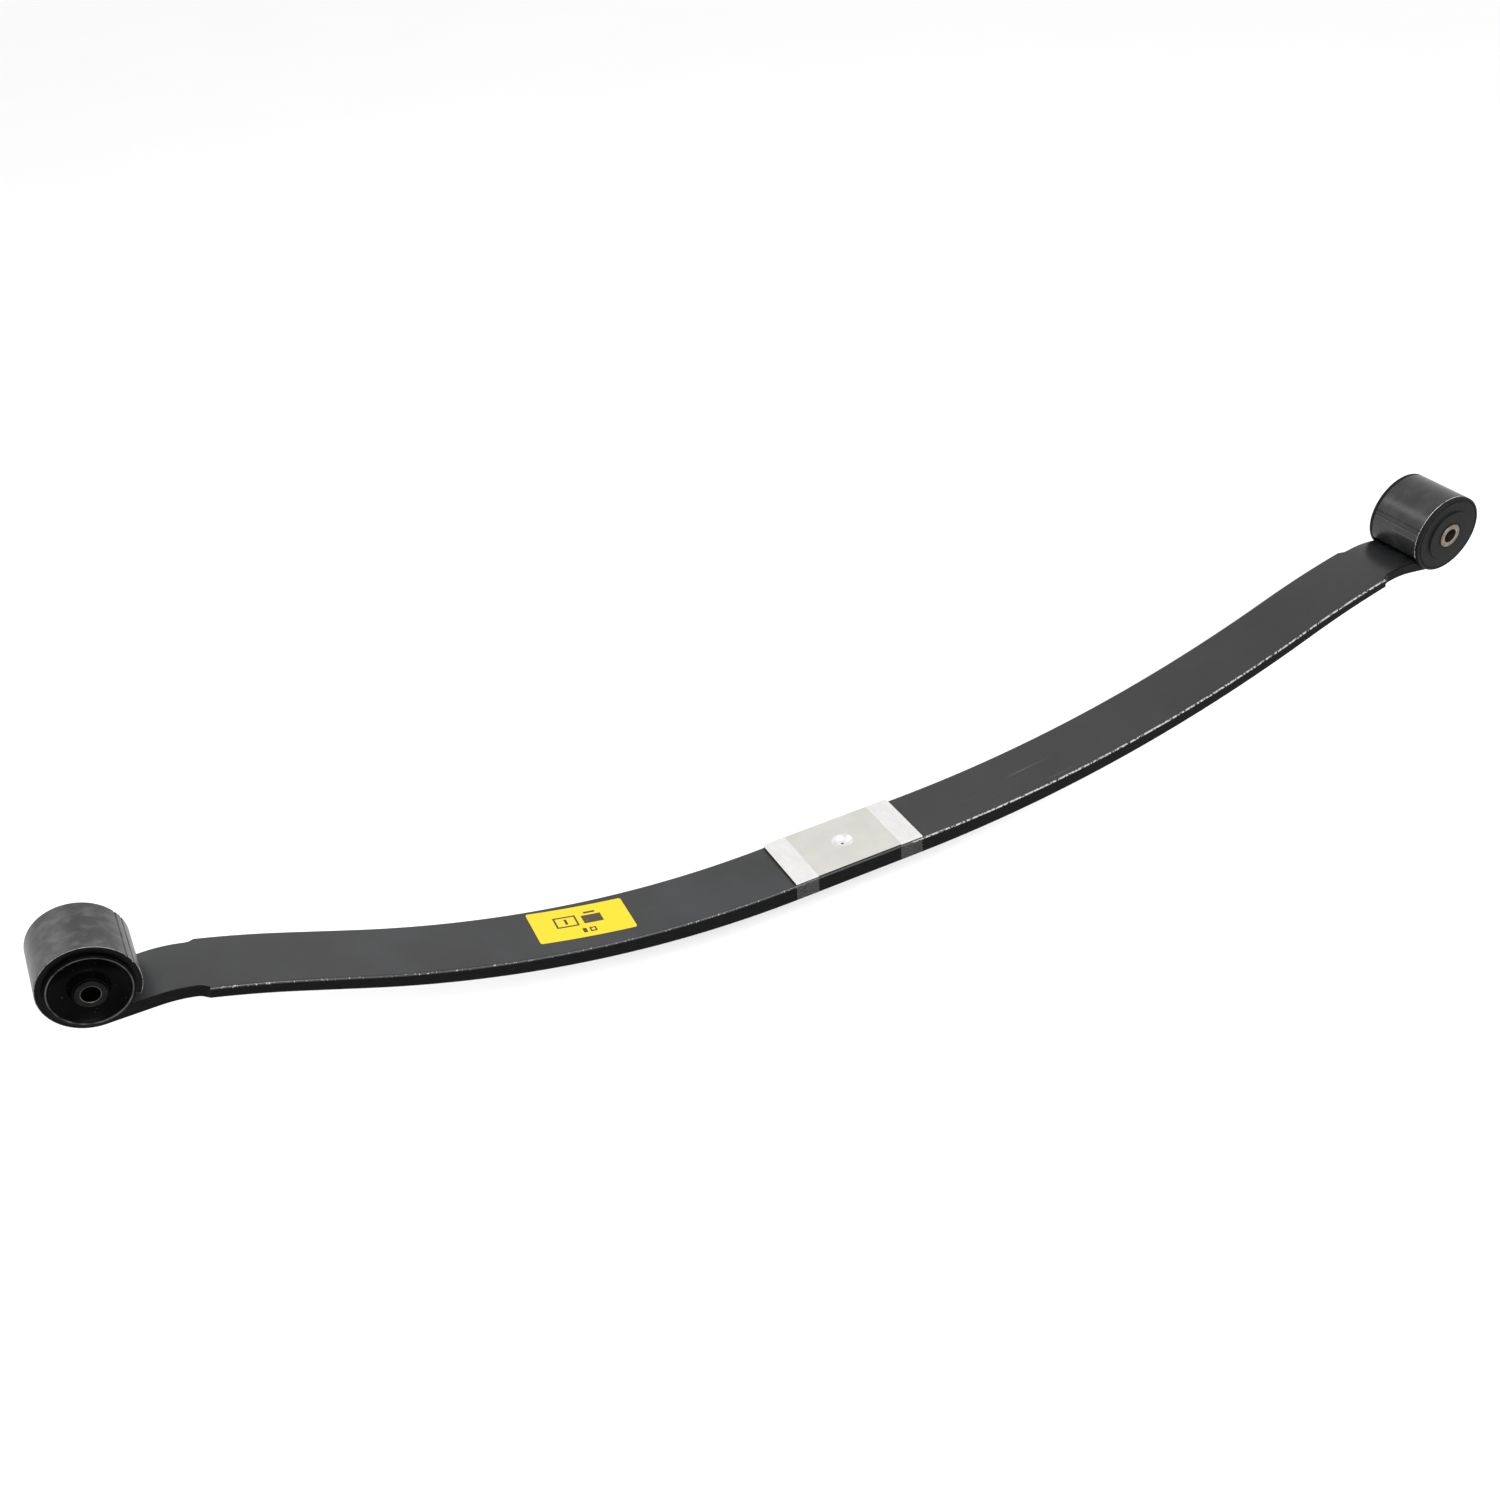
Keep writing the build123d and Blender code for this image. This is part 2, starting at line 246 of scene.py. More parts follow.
@dataclass(frozen=True)
class LeafPaint:
    """Black chassis paint on the broad faces, with rolling marks, scratches and paint chip marks,
    and painted highlight: pale lines along the eye's rims and the rounded edges.
    """

    name: str
    level: float = 0.0165
    mottle: float = 0.0
    scratches: float = 0.0
    chip_and_highlight: float = 0.0
    eye_from: float = 10.0
    half_width: float = 35 * MM
    specular: float = 0.5
    speckle_and_highlight: float = 0.0
    sparse: float = 0.60
    roughness: float = 0.31

    def make(self) -> bpy.types.Material:
        """Build the paint's nodes on the bar stock's own coordinates."""
        paint = Finish(self.name)
        stock = paint.place(attribute="stock")
        along, across, _ = paint.split(stock)
        broad = paint.noise(stock, 14, 3)
        rolled = paint.noise(paint.place((6, 240, 240), attribute="stock"), 1.0, 5, 0.6)
        peel = paint.noise(stock, 520, 3)
        blotch = paint.noise(paint.place((1, 1, 1), (0.4, 0.2, 0), "stock"), 70, 6, 0.62)
        on_eye = paint.spread(along, self.eye_from, self.eye_from + 12 * MM)
        colour = paint.blend(paint.spread(broad, 0.3, 0.7), grey(self.level * 0.85, -0.03),
                             grey(self.level * 1.15, -0.05))
        dusty = paint.times(paint.spread(blotch, 0.42, 0.72), on_eye)
        colour = paint.blend(paint.times(dusty, self.mottle), colour, grey(0.14, 0.03))
        marks = self.scratch_marks(paint)
        colour = paint.blend(marks, colour, grey(0.16, 0.05))
        # Pale grey on the rims: paint chip marks, and painted highlight where the mask runs into
        # near-continuous lines.
        chip_and_highlight_mask = self.chip_marks(paint, across, on_eye)
        colour = paint.blend(chip_and_highlight_mask, colour, grey(0.62, 0.05))
        smooth = paint.spread(rolled, 0.3, 0.7, self.roughness, self.roughness + 0.06)
        rounded = paint.spread(paint.calc("ABSOLUTE", across), self.half_width - 2.6 * MM,
                               self.half_width - 2.2 * MM, 0.0, -0.10)
        rough = paint.plus(smooth, paint.times(marks, 0.15),
                           paint.times(dusty, 0.16 * self.mottle), rounded)
        paint.set(base_color=colour, roughness=rough, specular_ior_level=self.specular)
        paint.relief(peel, 0.04 * MM, 0.5)
        paint.relief(paint.noise(stock, 110, 2), 0.10 * MM, 0.35 if self.mottle else 0.12)
        return paint.material

    def scratch_marks(self, paint: Finish) -> bpy.types.NodeSocket:
        """Mask of the fine scratches, which run nearly along the leaf."""
        leaning = paint.place((5, 310, 1), (0.7, 0, 0), "stock")
        line = paint.spread(paint.noise(leaning, 1.0, 2, 0.4), 0.70, 0.76)
        patch = paint.spread(paint.noise(paint.place(attribute="stock"), 9, 2), 0.50, 0.64)
        return paint.times(line, patch, self.scratches)

    def chip_marks(self, paint: Finish, across: bpy.types.NodeSocket,
                   on_eye: bpy.types.NodeSocket) -> bpy.types.NodeSocket:
        """Mask of paint chip marks on the eye's rims and pale dots on the rounded edges; where
        they run together, as on the rear arm, the mask is a painted highlight along those edges.
        """
        rim = paint.spread(paint.calc("ABSOLUTE", across), self.half_width - 1.5 * MM,
                           self.half_width - 0.6 * MM)
        chip_and_highlight_noise = paint.noise(paint.place(attribute="stock"), 190, 4, 0.7)
        deep = paint.spread(paint.plus(chip_and_highlight_noise, paint.times(rim, 0.22)), 0.62, 0.70)
        on_rim = paint.times(deep, rim, on_eye, self.chip_and_highlight)
        fine = paint.spread(paint.noise(paint.place(attribute="stock"), 430, 3, 0.6),
                            self.sparse, self.sparse + 0.05)
        return paint.calc("MAXIMUM", on_rim, paint.times(fine, rim, self.speckle_and_highlight))


@dataclass(frozen=True)
class EdgePaint:
    """Painted shade: the same paint, darker and barely glossy, for side faces that are in shade.
    """

    name: str = "leaf_edge_paint"
    level: float = 0.0022
    specular: float = 0.05
    attribute: str = "stock"

    def make(self) -> bpy.types.Material:
        """Build the paint's nodes."""
        paint = Finish(self.name)
        stock = paint.place(attribute=self.attribute)
        sheared = paint.noise(paint.place((90, 1, 420), attribute=self.attribute), 1.0, 4)
        colour = paint.blend(paint.spread(sheared, 0.35, 0.7), grey(self.level * 0.7, -0.04),
                             grey(self.level * 1.6, -0.06))
        paint.set(base_color=colour, roughness=paint.spread(sheared, 0.3, 0.7, 0.24, 0.38),
                  specular_ior_level=self.specular)
        paint.relief(paint.noise(stock, 300, 4), 0.08 * MM, 0.6)
        return paint.material


@dataclass(frozen=True)
class PlateSheet:
    """Matt zinc-coated sheet with a faint rolling grain."""

    name: str = "plate_zinc_sheet"

    def make(self) -> bpy.types.Material:
        """Build the sheet's nodes."""
        sheet = Finish(self.name)
        cloud = sheet.noise(sheet.place(), 45, 4)
        grain = sheet.noise(sheet.place((22, 900, 900)), 1.0, 4, 0.6)
        warm = sheet.blend(sheet.spread(cloud, 0.3, 0.7), (0.410, 0.407, 0.376, 1),
                           (0.440, 0.438, 0.405, 1))
        sheet.set(base_color=warm, roughness=sheet.spread(grain, 0.3, 0.7, 0.44, 0.56),
                  metallic=0.0, specular_ior_level=0.4)
        sheet.relief(grain, 0.012 * MM, 0.4)
        return sheet.material


@dataclass(frozen=True)
class DimpleMetal:
    """Zinc burnished by the punch, with turned rings round the dimple and a dark spot of painted
    shade on its floor.
    """

    name: str = "plate_burnished_dimple"

    def make(self) -> bpy.types.Material:
        """Build the metal's nodes round the part's own Z axis."""
        metal = Finish(self.name)
        x, y, _ = metal.split(metal.place())
        radius = metal.reach(x, y)
        tone = metal.spread(metal.noise(metal.place(), 260, 3), 0.3, 0.7, 0.0, 1.0)
        bright = metal.blend(tone, grey(0.74, 0.01), grey(0.86, 0.01))
        # Dark grey within 1.0 to 1.7 mm of the axis: painted shade on the dimple's floor.
        metal.set(base_color=metal.blend(metal.spread(radius, 1.0 * MM, 1.7 * MM), grey(0.10),
                                         bright))
        metal.set(metallic=1.0, roughness=metal.spread(tone, 0.0, 1.0, 0.26, 0.32))
        metal.turn_rings(radius, 9000.0, 0.25)
        return metal.material


@dataclass(frozen=True)
class TapeFilm:
    """Milky translucent film with cross threads, creases and trapped dust."""

    name: str
    cover: float
    white: float

    def make(self) -> bpy.types.Material:
        """Build the film's nodes."""
        film = Finish(self.name)
        creases = film.noise(film.place((90, 40, 40)), 1.0, 4, 0.6)
        dust = film.noise(film.place(), 900, 2)
        cover = film.plus(film.spread(creases, 0.3, 0.72, self.cover * 0.92, self.cover * 1.10),
                          film.spread(dust, 0.62, 0.72, 0.0, self.cover * 0.25))
        tone = film.blend(creases, grey(self.white * 0.96, 0.01), grey(self.white, 0.01))
        film.set(base_color=tone, alpha=cover,
                 roughness=film.spread(creases, 0.3, 0.7, 0.26, 0.42))
        film.relief(creases, 0.08 * MM, 0.25)
        return film.material


@dataclass(frozen=True)
class Mark:
    """One plain printed bar or ring on the label, in metres from the label's centre."""

    along: float
    across: float
    length: float
    height: float
    hollow: float = 0.0


@dataclass(frozen=True)
class LabelPrint:
    """Yellow film printed with plain dark bars and outlines, with no words or signs."""

    marks: tuple[Mark, ...]
    name: str = "label_yellow_print"

    def make(self) -> bpy.types.Material:
        """Build the label's nodes on its own flat map."""
        film = Finish(self.name)
        flat = film.node("ShaderNodeAttribute", attribute_name="flat")
        x, y, _ = film.split(flat.outputs["Vector"])
        ink = None
        for mark in self.marks:
            shown = self.box(film, x, y, mark, 0.0)
            if mark.hollow:
                inside = self.box(film, x, y, mark, mark.hollow)
                shown = film.calc("SUBTRACT", shown, inside)
            ink = shown if ink is None else film.calc("MAXIMUM", ink, shown)
        rubbed = film.spread(film.noise(film.place(), 300, 3), 0.22, 0.34, 0.8, 1.0)
        smudge = film.spread(film.noise(film.place(), 90, 4, 0.7), 0.60, 0.78, 0.0, 0.28)
        yellow = film.blend(smudge, (0.70, 0.51, 0.004, 1), (0.54, 0.38, 0.008, 1))
        film.set(base_color=film.blend(film.times(ink, rubbed), yellow,
                                       (0.05, 0.035, 0.018, 1)))
        film.set(roughness=film.spread(smudge, 0.0, 0.28, 0.34, 0.5), specular_ior_level=0.4)
        film.relief(film.noise(film.place(), 700, 2), 0.01 * MM, 0.3)
        return film.material

    def box(self, film: Finish, x: bpy.types.NodeSocket, y: bpy.types.NodeSocket, mark: Mark,
            inset: float) -> bpy.types.NodeSocket:
        """Mask of a mark's outline, shrunk by an inset."""
        masks = []
        for value, centre, size in ((x, mark.along, mark.length), (y, mark.across, mark.height)):
            offset = film.calc("ABSOLUTE", film.calc("SUBTRACT", value, centre))
            masks.append(film.calc("LESS_THAN", offset, size / 2 - inset))
        return film.times(*masks)


@dataclass(frozen=True)
class Rubber:
    """Moulded black rubber with bloom and fine moulding texture, and where set a painted
    highlight round the rim's crest.
    """

    name: str
    level: float = 0.012
    bloom: float = 0.3
    gloss: float = 0.5
    specular: float = 0.2
    worn_radius: float = 0.0

    def make(self, centre: Vector) -> bpy.types.Material:
        """Build the rubber's nodes for a bush at this centre."""
        rubber = Finish(self.name)
        cloud = rubber.spread(rubber.noise(rubber.place(), 90, 5, 0.65), 0.4, 0.75)
        fine = rubber.noise(rubber.place(), 1300, 3)
        specks = rubber.spread(rubber.noise(rubber.place(), 800, 2), 0.72, 0.78)
        colour = rubber.blend(rubber.times(cloud, self.bloom), grey(self.level, -0.06),
                              grey(self.level * 3.5, 0.0))
        # Lighter grey ring round the rim's crest: painted highlight.
        if self.worn_radius:
            colour = rubber.blend(self.worn_ring(rubber, centre), colour, grey(0.075, 0.05))
        rubber.set(base_color=rubber.blend(rubber.times(specks, 0.35), colour, grey(0.2)),
                   roughness=rubber.spread(cloud, 0.0, 1.0, self.gloss - 0.06, self.gloss + 0.1),
                   specular_ior_level=self.specular)
        rubber.relief(fine, 0.02 * MM, 0.5)
        return rubber.material

    def worn_ring(self, rubber: Finish, centre: Vector) -> bpy.types.NodeSocket:
        """Mask of a painted highlight: a thin lighter line round the crest of the rim."""
        place, radius = rubber.around(centre)
        offset = rubber.calc("ABSOLUTE", rubber.calc("SUBTRACT", radius, self.worn_radius))
        ring = rubber.spread(offset, 0.2 * MM, 0.9 * MM, 1.0, 0.0)
        patchy = rubber.spread(rubber.noise(place, 60, 4, 0.6), 0.35, 0.6, 0.15, 0.9)
        return rubber.times(ring, patchy)


@dataclass(frozen=True)
class SleeveSteel:
    """Turned steel tube, bare or darkened by oil, with rings round its axis."""

    name: str
    centre: tuple[float, float, float]
    colour: tuple[float, float, float, float]
    roughness: float = 0.34

    def make(self) -> bpy.types.Material:
        """Build the steel's nodes round the sleeve's own axis."""
        steel = Finish(self.name)
        place, radius = steel.around(self.centre)
        stain = steel.spread(steel.noise(place, 210, 5, 0.7), 0.36, 0.7)
        dark = tuple(0.62 * part for part in self.colour[:3]) + (1.0,)
        steel.set(base_color=steel.blend(stain, dark, self.colour), metallic=1.0,
                  roughness=steel.spread(stain, 0.0, 1.0, self.roughness + 0.12, self.roughness))
        steel.turn_rings(radius, 14000.0, 0.4)
        return steel.material


# ---- Mesh helpers ----


def in_mm(kind: type, *rows: tuple[float, ...]) -> tuple:
    """Make one item from each row of millimetres."""
    return tuple(kind(*(number * MM for number in row)) for row in rows)


def edges_of(result: dict) -> list[bmesh.types.BMEdge]:
    """The edges that an operator made."""
    return [item for item in result["geom"] if isinstance(item, bmesh.types.BMEdge)]


def verts_of(result: dict) -> list[bmesh.types.BMVert]:
    """The vertices that an operator made."""
    return [item for item in result["geom"] if isinstance(item, bmesh.types.BMVert)]


def move(bm: bmesh.types.BMesh, shift: tuple[float, float, float] | Vector,
         verts: list[bmesh.types.BMVert] | None = None) -> None:
    """Shift a mesh, or only some of its vertices."""
    bmesh.ops.translate(bm, verts=bm.verts if verts is None else verts, vec=shift)


def round_off(bm: bmesh.types.BMesh, geom: list, radius: float, segments: int,
              affect: str = "VERTICES", clamp: bool = False) -> None:
    """Round corners or edges to a radius, in a number of steps."""
    bmesh.ops.bevel(bm, geom=geom, offset=radius, offset_type="OFFSET", segments=segments,
                    profile=0.5, affect=affect, material=-1, clamp_overlap=clamp)


def rectangle(bm: bmesh.types.BMesh, width: float, height: float) -> None:
    """Draw a rectangular face in the XY plane, centred on the origin."""
    bmesh.ops.create_grid(bm, x_segments=1, y_segments=1, size=0.5)
    bmesh.ops.scale(bm, vec=(width, height, 1), verts=bm.verts)


def grow_ring(bm: bmesh.types.BMesh, loop: list[bmesh.types.BMEdge], scale: float,
              rise: float) -> list[bmesh.types.BMEdge]:
    """Extrude a ring of edges, scaled about the Z axis and raised.

    Args:
        bm: Mesh that holds the ring.
        loop: The ring's edges.
        scale: New radius over the old one.
        rise: Height added, below zero to lower it.

    Returns:
        The new ring's edges.
    """
    grown = bmesh.ops.extrude_edge_only(bm, edges=loop)
    verts = verts_of(grown)
    bmesh.ops.scale(bm, verts=verts, vec=(scale, scale, 1))
    move(bm, (0, 0, rise), verts)
    return [edge for edge in edges_of(grown) if all(vert in verts for vert in edge.verts)]


def rounded_outline(bm: bmesh.types.BMesh, width: float, height: float, radius: float,
                    segments: int) -> list[bmesh.types.BMEdge]:
    """Draw a rectangle with rounded corners in the XY plane, as a loop of edges.

    Args:
        bm: Mesh to draw in, which is empty before.
        width: Size along X.
        height: Size along Y.
        radius: Corner radius.
        segments: Steps round each corner.

    Returns:
        The loop's edges.
    """
    rectangle(bm, width, height)
    round_off(bm, bm.verts[:], radius, segments)
    bmesh.ops.delete(bm, geom=bm.faces[:], context="FACES_ONLY")
    return bm.edges[:]


def add_object(name: str, data: bpy.types.ID) -> bpy.types.Object:
    """Put new data in the scene as an object."""
    made = bpy.data.objects.new(name, data)
    bpy.context.scene.collection.objects.link(made)
    return made


def finish_mesh(bm: bmesh.types.BMesh, name: str, sharp: float = 40.0) -> bpy.types.Object:
    """Turn a closed bmesh into a smooth-shaded piece.

    Args:
        bm: The mesh, which is freed.
        name: Name of the piece.
        sharp: Edges that turn more than this many degrees stay sharp.

    Returns:
        The new object, at the origin.
    """
    bmesh.ops.remove_doubles(bm, verts=bm.verts[:], dist=1e-7)
    bmesh.ops.recalc_face_normals(bm, faces=bm.faces[:])
    mesh = bpy.data.meshes.new(name)
    bm.to_mesh(mesh)
    bm.free()
    mesh.shade_smooth()
    mesh.set_sharp_from_angle(angle=radians(sharp))
    piece = add_object(name, mesh)
    weighted = piece.modifiers.new("even_shading", "WEIGHTED_NORMAL")
    weighted.keep_sharp = True
    weighted.weight = 60
    return piece


def dress(piece: bpy.types.Object, *materials: bpy.types.Material) -> None:
    """Fill a new piece's material slots in order."""
    for material in materials:
        piece.data.materials.append(material)


# ---- The leaf ----


@dataclass(frozen=True)
class Stretch:
    """A run of the leaf's centre line with one curvature, cut into even steps."""

    length: float
    curvature: float = 0.0
    step: float = 10 * MM


@dataclass(frozen=True)
class Arm:
    """Centre line of one half of the leaf, from under the tape band out round the eye."""

    end: End
    camber_radius: float
    camber_angle: float
    straight: float
    end_angle: float
    neck_length: float
    dip_angle: float
    ease_radius: float = 800 * MM
    lead: float = 6 * MM
    eye_drop: float = 18.5 * MM
    tip_angle: float = 16.0
    half_seat: float = 72 * MM
    joint: float = 58 * MM
    seat_thickness: float = 18.5 * MM
    end_thickness: float = 11 * MM
    bore_radius: float = 28.05 * MM

    @property
    def seat_run(self) -> float:
        """Length of flat stock between the joint and the start of the camber."""
        return self.half_seat - self.joint

    @property
    def wrap_start(self) -> float:
        """Distance along the stock at which the eye's roll starts."""
        return self.length - self.stretches()[-1].length

    @property
    def middle_radius(self) -> float:
        """Radius of the centre line round the eye."""
        return self.bore_radius + self.end_thickness / 2

    @property
    def camber_length(self) -> float:
        """Length of the arc that lifts the arm."""
        return self.camber_radius * radians(self.camber_angle)

    @property
    def ease_length(self) -> float:
        """Length of the arc that eases the arm back to its end angle."""
        return self.ease_radius * radians(self.camber_angle - self.end_angle)

    @property
    def shoulder(self) -> float:
        """Distance along the stock at which the full width ends."""
        return self.seat_run + self.camber_length + self.straight + self.ease_length

    def stretches(self) -> list[Stretch]:
        """The runs of the centre line, from the joint under the tape out to the tip."""
        dip = radians(self.dip_angle)
        middle = self.middle_radius
        along = self.neck_length + middle
        above = middle - self.eye_drop
        rise = (along - self.lead) * sin(dip) + above * cos(dip)
        neck_radius = (rise - middle) / (1 - cos(dip))
        gap_along = along - middle * sin(dip) - self.lead - neck_radius * sin(dip)
        gap_above = above - middle * cos(dip) + neck_radius * (1 - cos(dip))
        wrap = radians(90 + self.dip_angle + 180 + self.tip_angle)
        return [
            Stretch(self.seat_run, step=7 * MM),
            Stretch(self.camber_length, 1 / self.camber_radius),
            Stretch(self.straight),
            Stretch(self.ease_length, -1 / self.ease_radius),
            Stretch(self.lead, step=0.75 * MM),
            Stretch(neck_radius * dip, -1 / neck_radius, 1 * MM),
            Stretch(hypot(gap_along, gap_above), step=2 * MM),
            Stretch(middle * wrap, 1 / middle, 1.6 * MM),
        ]

    @property
    def length(self) -> float:
        """Length of bar stock that the arm takes."""
        return sum(stretch.length for stretch in self.stretches())

    def stations(self) -> list[float]:
        """Distances along the stock at which its section is repeated."""
        marks = [0.0]
        for stretch in self.stretches():
            start = marks[-1]
            steps = max(1, round(stretch.length / stretch.step))
            marks += [start + stretch.length * count / steps for count in range(1, steps + 1)]
        return marks

    def middle(self, distance: float) -> tuple[float, float, float]:
        """Outward distance, height and heading of the centre line.

        Args:
            distance: Distance along the stock from the joint under the tape.

        Returns:
            The two coordinates in metres and the heading in radians.
        """
        out, up, heading = self.joint, self.seat_thickness / 2, 0.0
        left = distance
        for stretch in self.stretches():
            run = min(left, stretch.length)
            turned = heading + run * stretch.curvature
            if stretch.curvature:
                out += (sin(turned) - sin(heading)) / stretch.curvature
                up += (cos(heading) - cos(turned)) / stretch.curvature
            else:
                out += run * cos(heading)
                up += run * sin(heading)
            heading = turned
            left -= run
            if left <= 0:
                break
        return out, up, heading

    def thickness(self, distance: float) -> float:
        """Parabolic taper: the thickness squared falls evenly out to the shoulder."""
        share = min(max((distance - self.seat_run) / (self.shoulder - self.seat_run), 0.0), 1.0)
        return sqrt(self.seat_thickness**2 - share * (self.seat_thickness**2
                                                      - self.end_thickness**2))

    def bend(self, distance: float, across: float, lift: float) -> Vector:
        """Place on the bent arm a point of the stock, from its height over the centre line."""
        out, up, heading = self.middle(distance)
        return Vector((self.end.value * (out - lift * sin(heading)), across,
                       up + lift * cos(heading)))

    def blend_ends(self) -> tuple[Vector, Vector]:
        """Where the arm starts to follow its eye, and where it follows it fully."""
        return (self.bend(self.seat_run, 0, 0), self.bend(self.shoulder, 0, 0))


FRONT_ARM = Arm(End.FRONT, camber_radius=1009 * MM, camber_angle=23.2, straight=58 * MM,
                end_angle=18.0, neck_length=54.5 * MM, dip_angle=17.0)
REAR_ARM = Arm(End.REAR, camber_radius=1358 * MM, camber_angle=19.8, straight=4 * MM,
               end_angle=13.0, neck_length=46.5 * MM, dip_angle=20.0)


def settle(piece: bpy.types.Object, node: str, body: str = "seat",
           arm: Arm | None = None) -> None:
    """Give a finished piece its place in the frame, and log it.

    Args:
        piece: The piece, dressed.
        node: The CAD node that it replaces.
        body: The body it rides, where it has no arm.
        arm: Where given, the piece is baked in place instead of attached to a body; the arm's
            blend ends are computed but not used.
    """
    if arm:
        start, stop = arm.blend_ends()
        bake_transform(piece)
    else:
        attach(piece, body)
    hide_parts(node)
    log.info("%s: %d vertices, %d faces", piece.name, len(piece.data.vertices),
             len(piece.data.polygons))


@dataclass
class Leaf:
    """The tapered leaf: its seat and two arms, each arm rolled into an eye."""

    width: float = 70 * MM
    eye_width: float = 60 * MM
    edge_round: float = 2.5 * MM
    cropped_round: float = 0.8 * MM
    shoulder_curve: float = 8.5 * MM
    corner_steps: int = 6
    hole_radius: float = 8.25 * MM
    pocket_radius: float = 11 * MM
    pocket_depth: float = 4.5 * MM
    end_bevel: float = 0.7 * MM
    crop_run: float = 2 * MM
    lit_rounding: float = 0.05
    shaded_rounding: float = 0.9
    mark_depth: float = 0.7 * MM
    mark_width: float = 1.9 * MM
    mark_angles: dict[End, tuple[float, ...]] = field(
        default_factory=lambda: {End.FRONT: (135.0, 146.0), End.REAR: (149.0, 156.0, 165.0)})

    def half_width(self, arm: Arm, distance: float) -> float:
        """Half the stock's width: hollow curves narrow it beyond the shoulder."""
        crop = (self.width - self.eye_width) / 2
        radius = (self.shoulder_curve**2 + crop**2) / (2 * crop)
        beyond = distance - arm.shoulder
        if beyond <= 0:
            return self.width / 2
        if beyond >= self.shoulder_curve:
            return self.eye_width / 2
        left = self.shoulder_curve - beyond
        return self.eye_width / 2 + radius - sqrt(radius**2 - left**2)

    def draw_stock(self, bm: bmesh.types.BMesh, stations: list[float]) -> None:
        """Extrude the section through each station, and close both ends."""
        loop = rounded_outline(bm, self.width, FRONT_ARM.seat_thickness, self.edge_round,
                               self.corner_steps)
        bmesh.ops.rotate(bm, verts=bm.verts, cent=(0, 0, 0), matrix=UP_TO_YZ)
        move(bm, (stations[0], 0, 0))
        bmesh.ops.edgeloop_fill(bm, edges=loop)
        for start, stop in zip(stations, stations[1:]):
            grown = bmesh.ops.extrude_edge_only(bm, edges=loop)
            move(bm, (stop - start, 0, 0), verts_of(grown))
            loop = [edge for edge in edges_of(grown)
                    if abs(edge.verts[0].co.x - edge.verts[1].co.x) < 1e-9
                    and edge.verts[0].co.x > (start + stop) / 2]
        bmesh.ops.edgeloop_fill(bm, edges=loop)

    def mark_stations(self, arm: Arm) -> list[float]:
        """Edges and floors of the shallow lines pressed across the eye's outside."""
        found = []
        for angle in self.mark_angles[arm.end]:
            centre = arm.wrap_start + arm.middle_radius * radians(angle + 90 + arm.dip_angle)
            found += [centre + share * self.mark_width for share in (-0.5, -0.2, 0.2, 0.5)]
        return found

    def mark_offset(self, arm: Arm, distance: float) -> float:
        """Depth of the pressed lines at a distance along the stock."""
        for edge in self.mark_stations(arm)[1::4]:
            if edge - 1e-6 <= distance <= edge + 0.4 * self.mark_width + 1e-6:
                return self.mark_depth
        return 0.0

    def shape(self, arm: Arm, point: Vector) -> Vector:
        """Draw down, crop and bend one point of the straight stock."""
        distance, across, lift = point
        cropped = min(max((distance - arm.shoulder) / self.crop_run, 0.0), 1.0)
        corner = 1 + cropped * (self.cropped_round / self.edge_round - 1)
        inset = (self.width / 2 - abs(across)) * corner
        sunk = (arm.seat_thickness / 2 - abs(lift)) * corner
        side = 1 if across > 0 else -1
        face = 1 if lift > 0 else -1
        height = arm.thickness(distance) / 2 - sunk
        if face < 0:
            height -= self.mark_offset(arm, distance)
        return arm.bend(distance, side * (self.half_width(arm, distance) - inset), face * height)

    def mark_edges(self, bm: bmesh.types.BMesh, shoulder: float, middle: float) -> None:
        """Give the side faces their own material slot, the darker painted-shade paint, before the
        stock is shaped.

        Args:
            bm: The straight stock.
            shoulder: Distance along the stock at which its full width ends.
            middle: Height of the stock's mid-plane.
        """
        for face in bm.faces:
            centre = face.calc_center_median()
            # Most of the shaded rounding joins the painted-shade side faces; the lit rounding
            # stays broad paint.
            lit = (centre.z > middle) != (centre.x > shoulder)
            share = self.lit_rounding if lit else self.shaded_rounding
            upright = abs(centre.y) > self.width / 2 - share * self.edge_round
            face.material_index = (LeafFace.EDGE if upright else LeafFace.BROAD).value

    def keep_stock(self, bm: bmesh.types.BMesh) -> None:
        """Store each point's place on the straight stock for the paint's patterns."""
        layer = bm.verts.layers.float_vector.new("stock")
        for vert in bm.verts:
            vert[layer] = vert.co

    def build_arm(self, arm: Arm) -> bpy.types.Object:
        """Make one arm with its neck and eye."""
        bm = bmesh.new()
        marks = self.mark_stations(arm)
        spare = [mark for mark in arm.stations()
                 if all(abs(mark - edge) > 0.3 * MM for edge in marks)]
        self.draw_stock(bm, sorted(spare + marks))
        tip = [edge for edge in bm.edges
               if all(vert.co.x > arm.length - 1e-6 for vert in edge.verts)]
        round_off(bm, tip, self.end_bevel, 2, affect="EDGES", clamp=True)
        self.keep_stock(bm)
        self.mark_edges(bm, arm.shoulder, 0.0)
        for vert in bm.verts:
            vert.co = self.shape(arm, vert.co)
        return finish_mesh(bm, f"leaf_{arm.end.word}_arm")

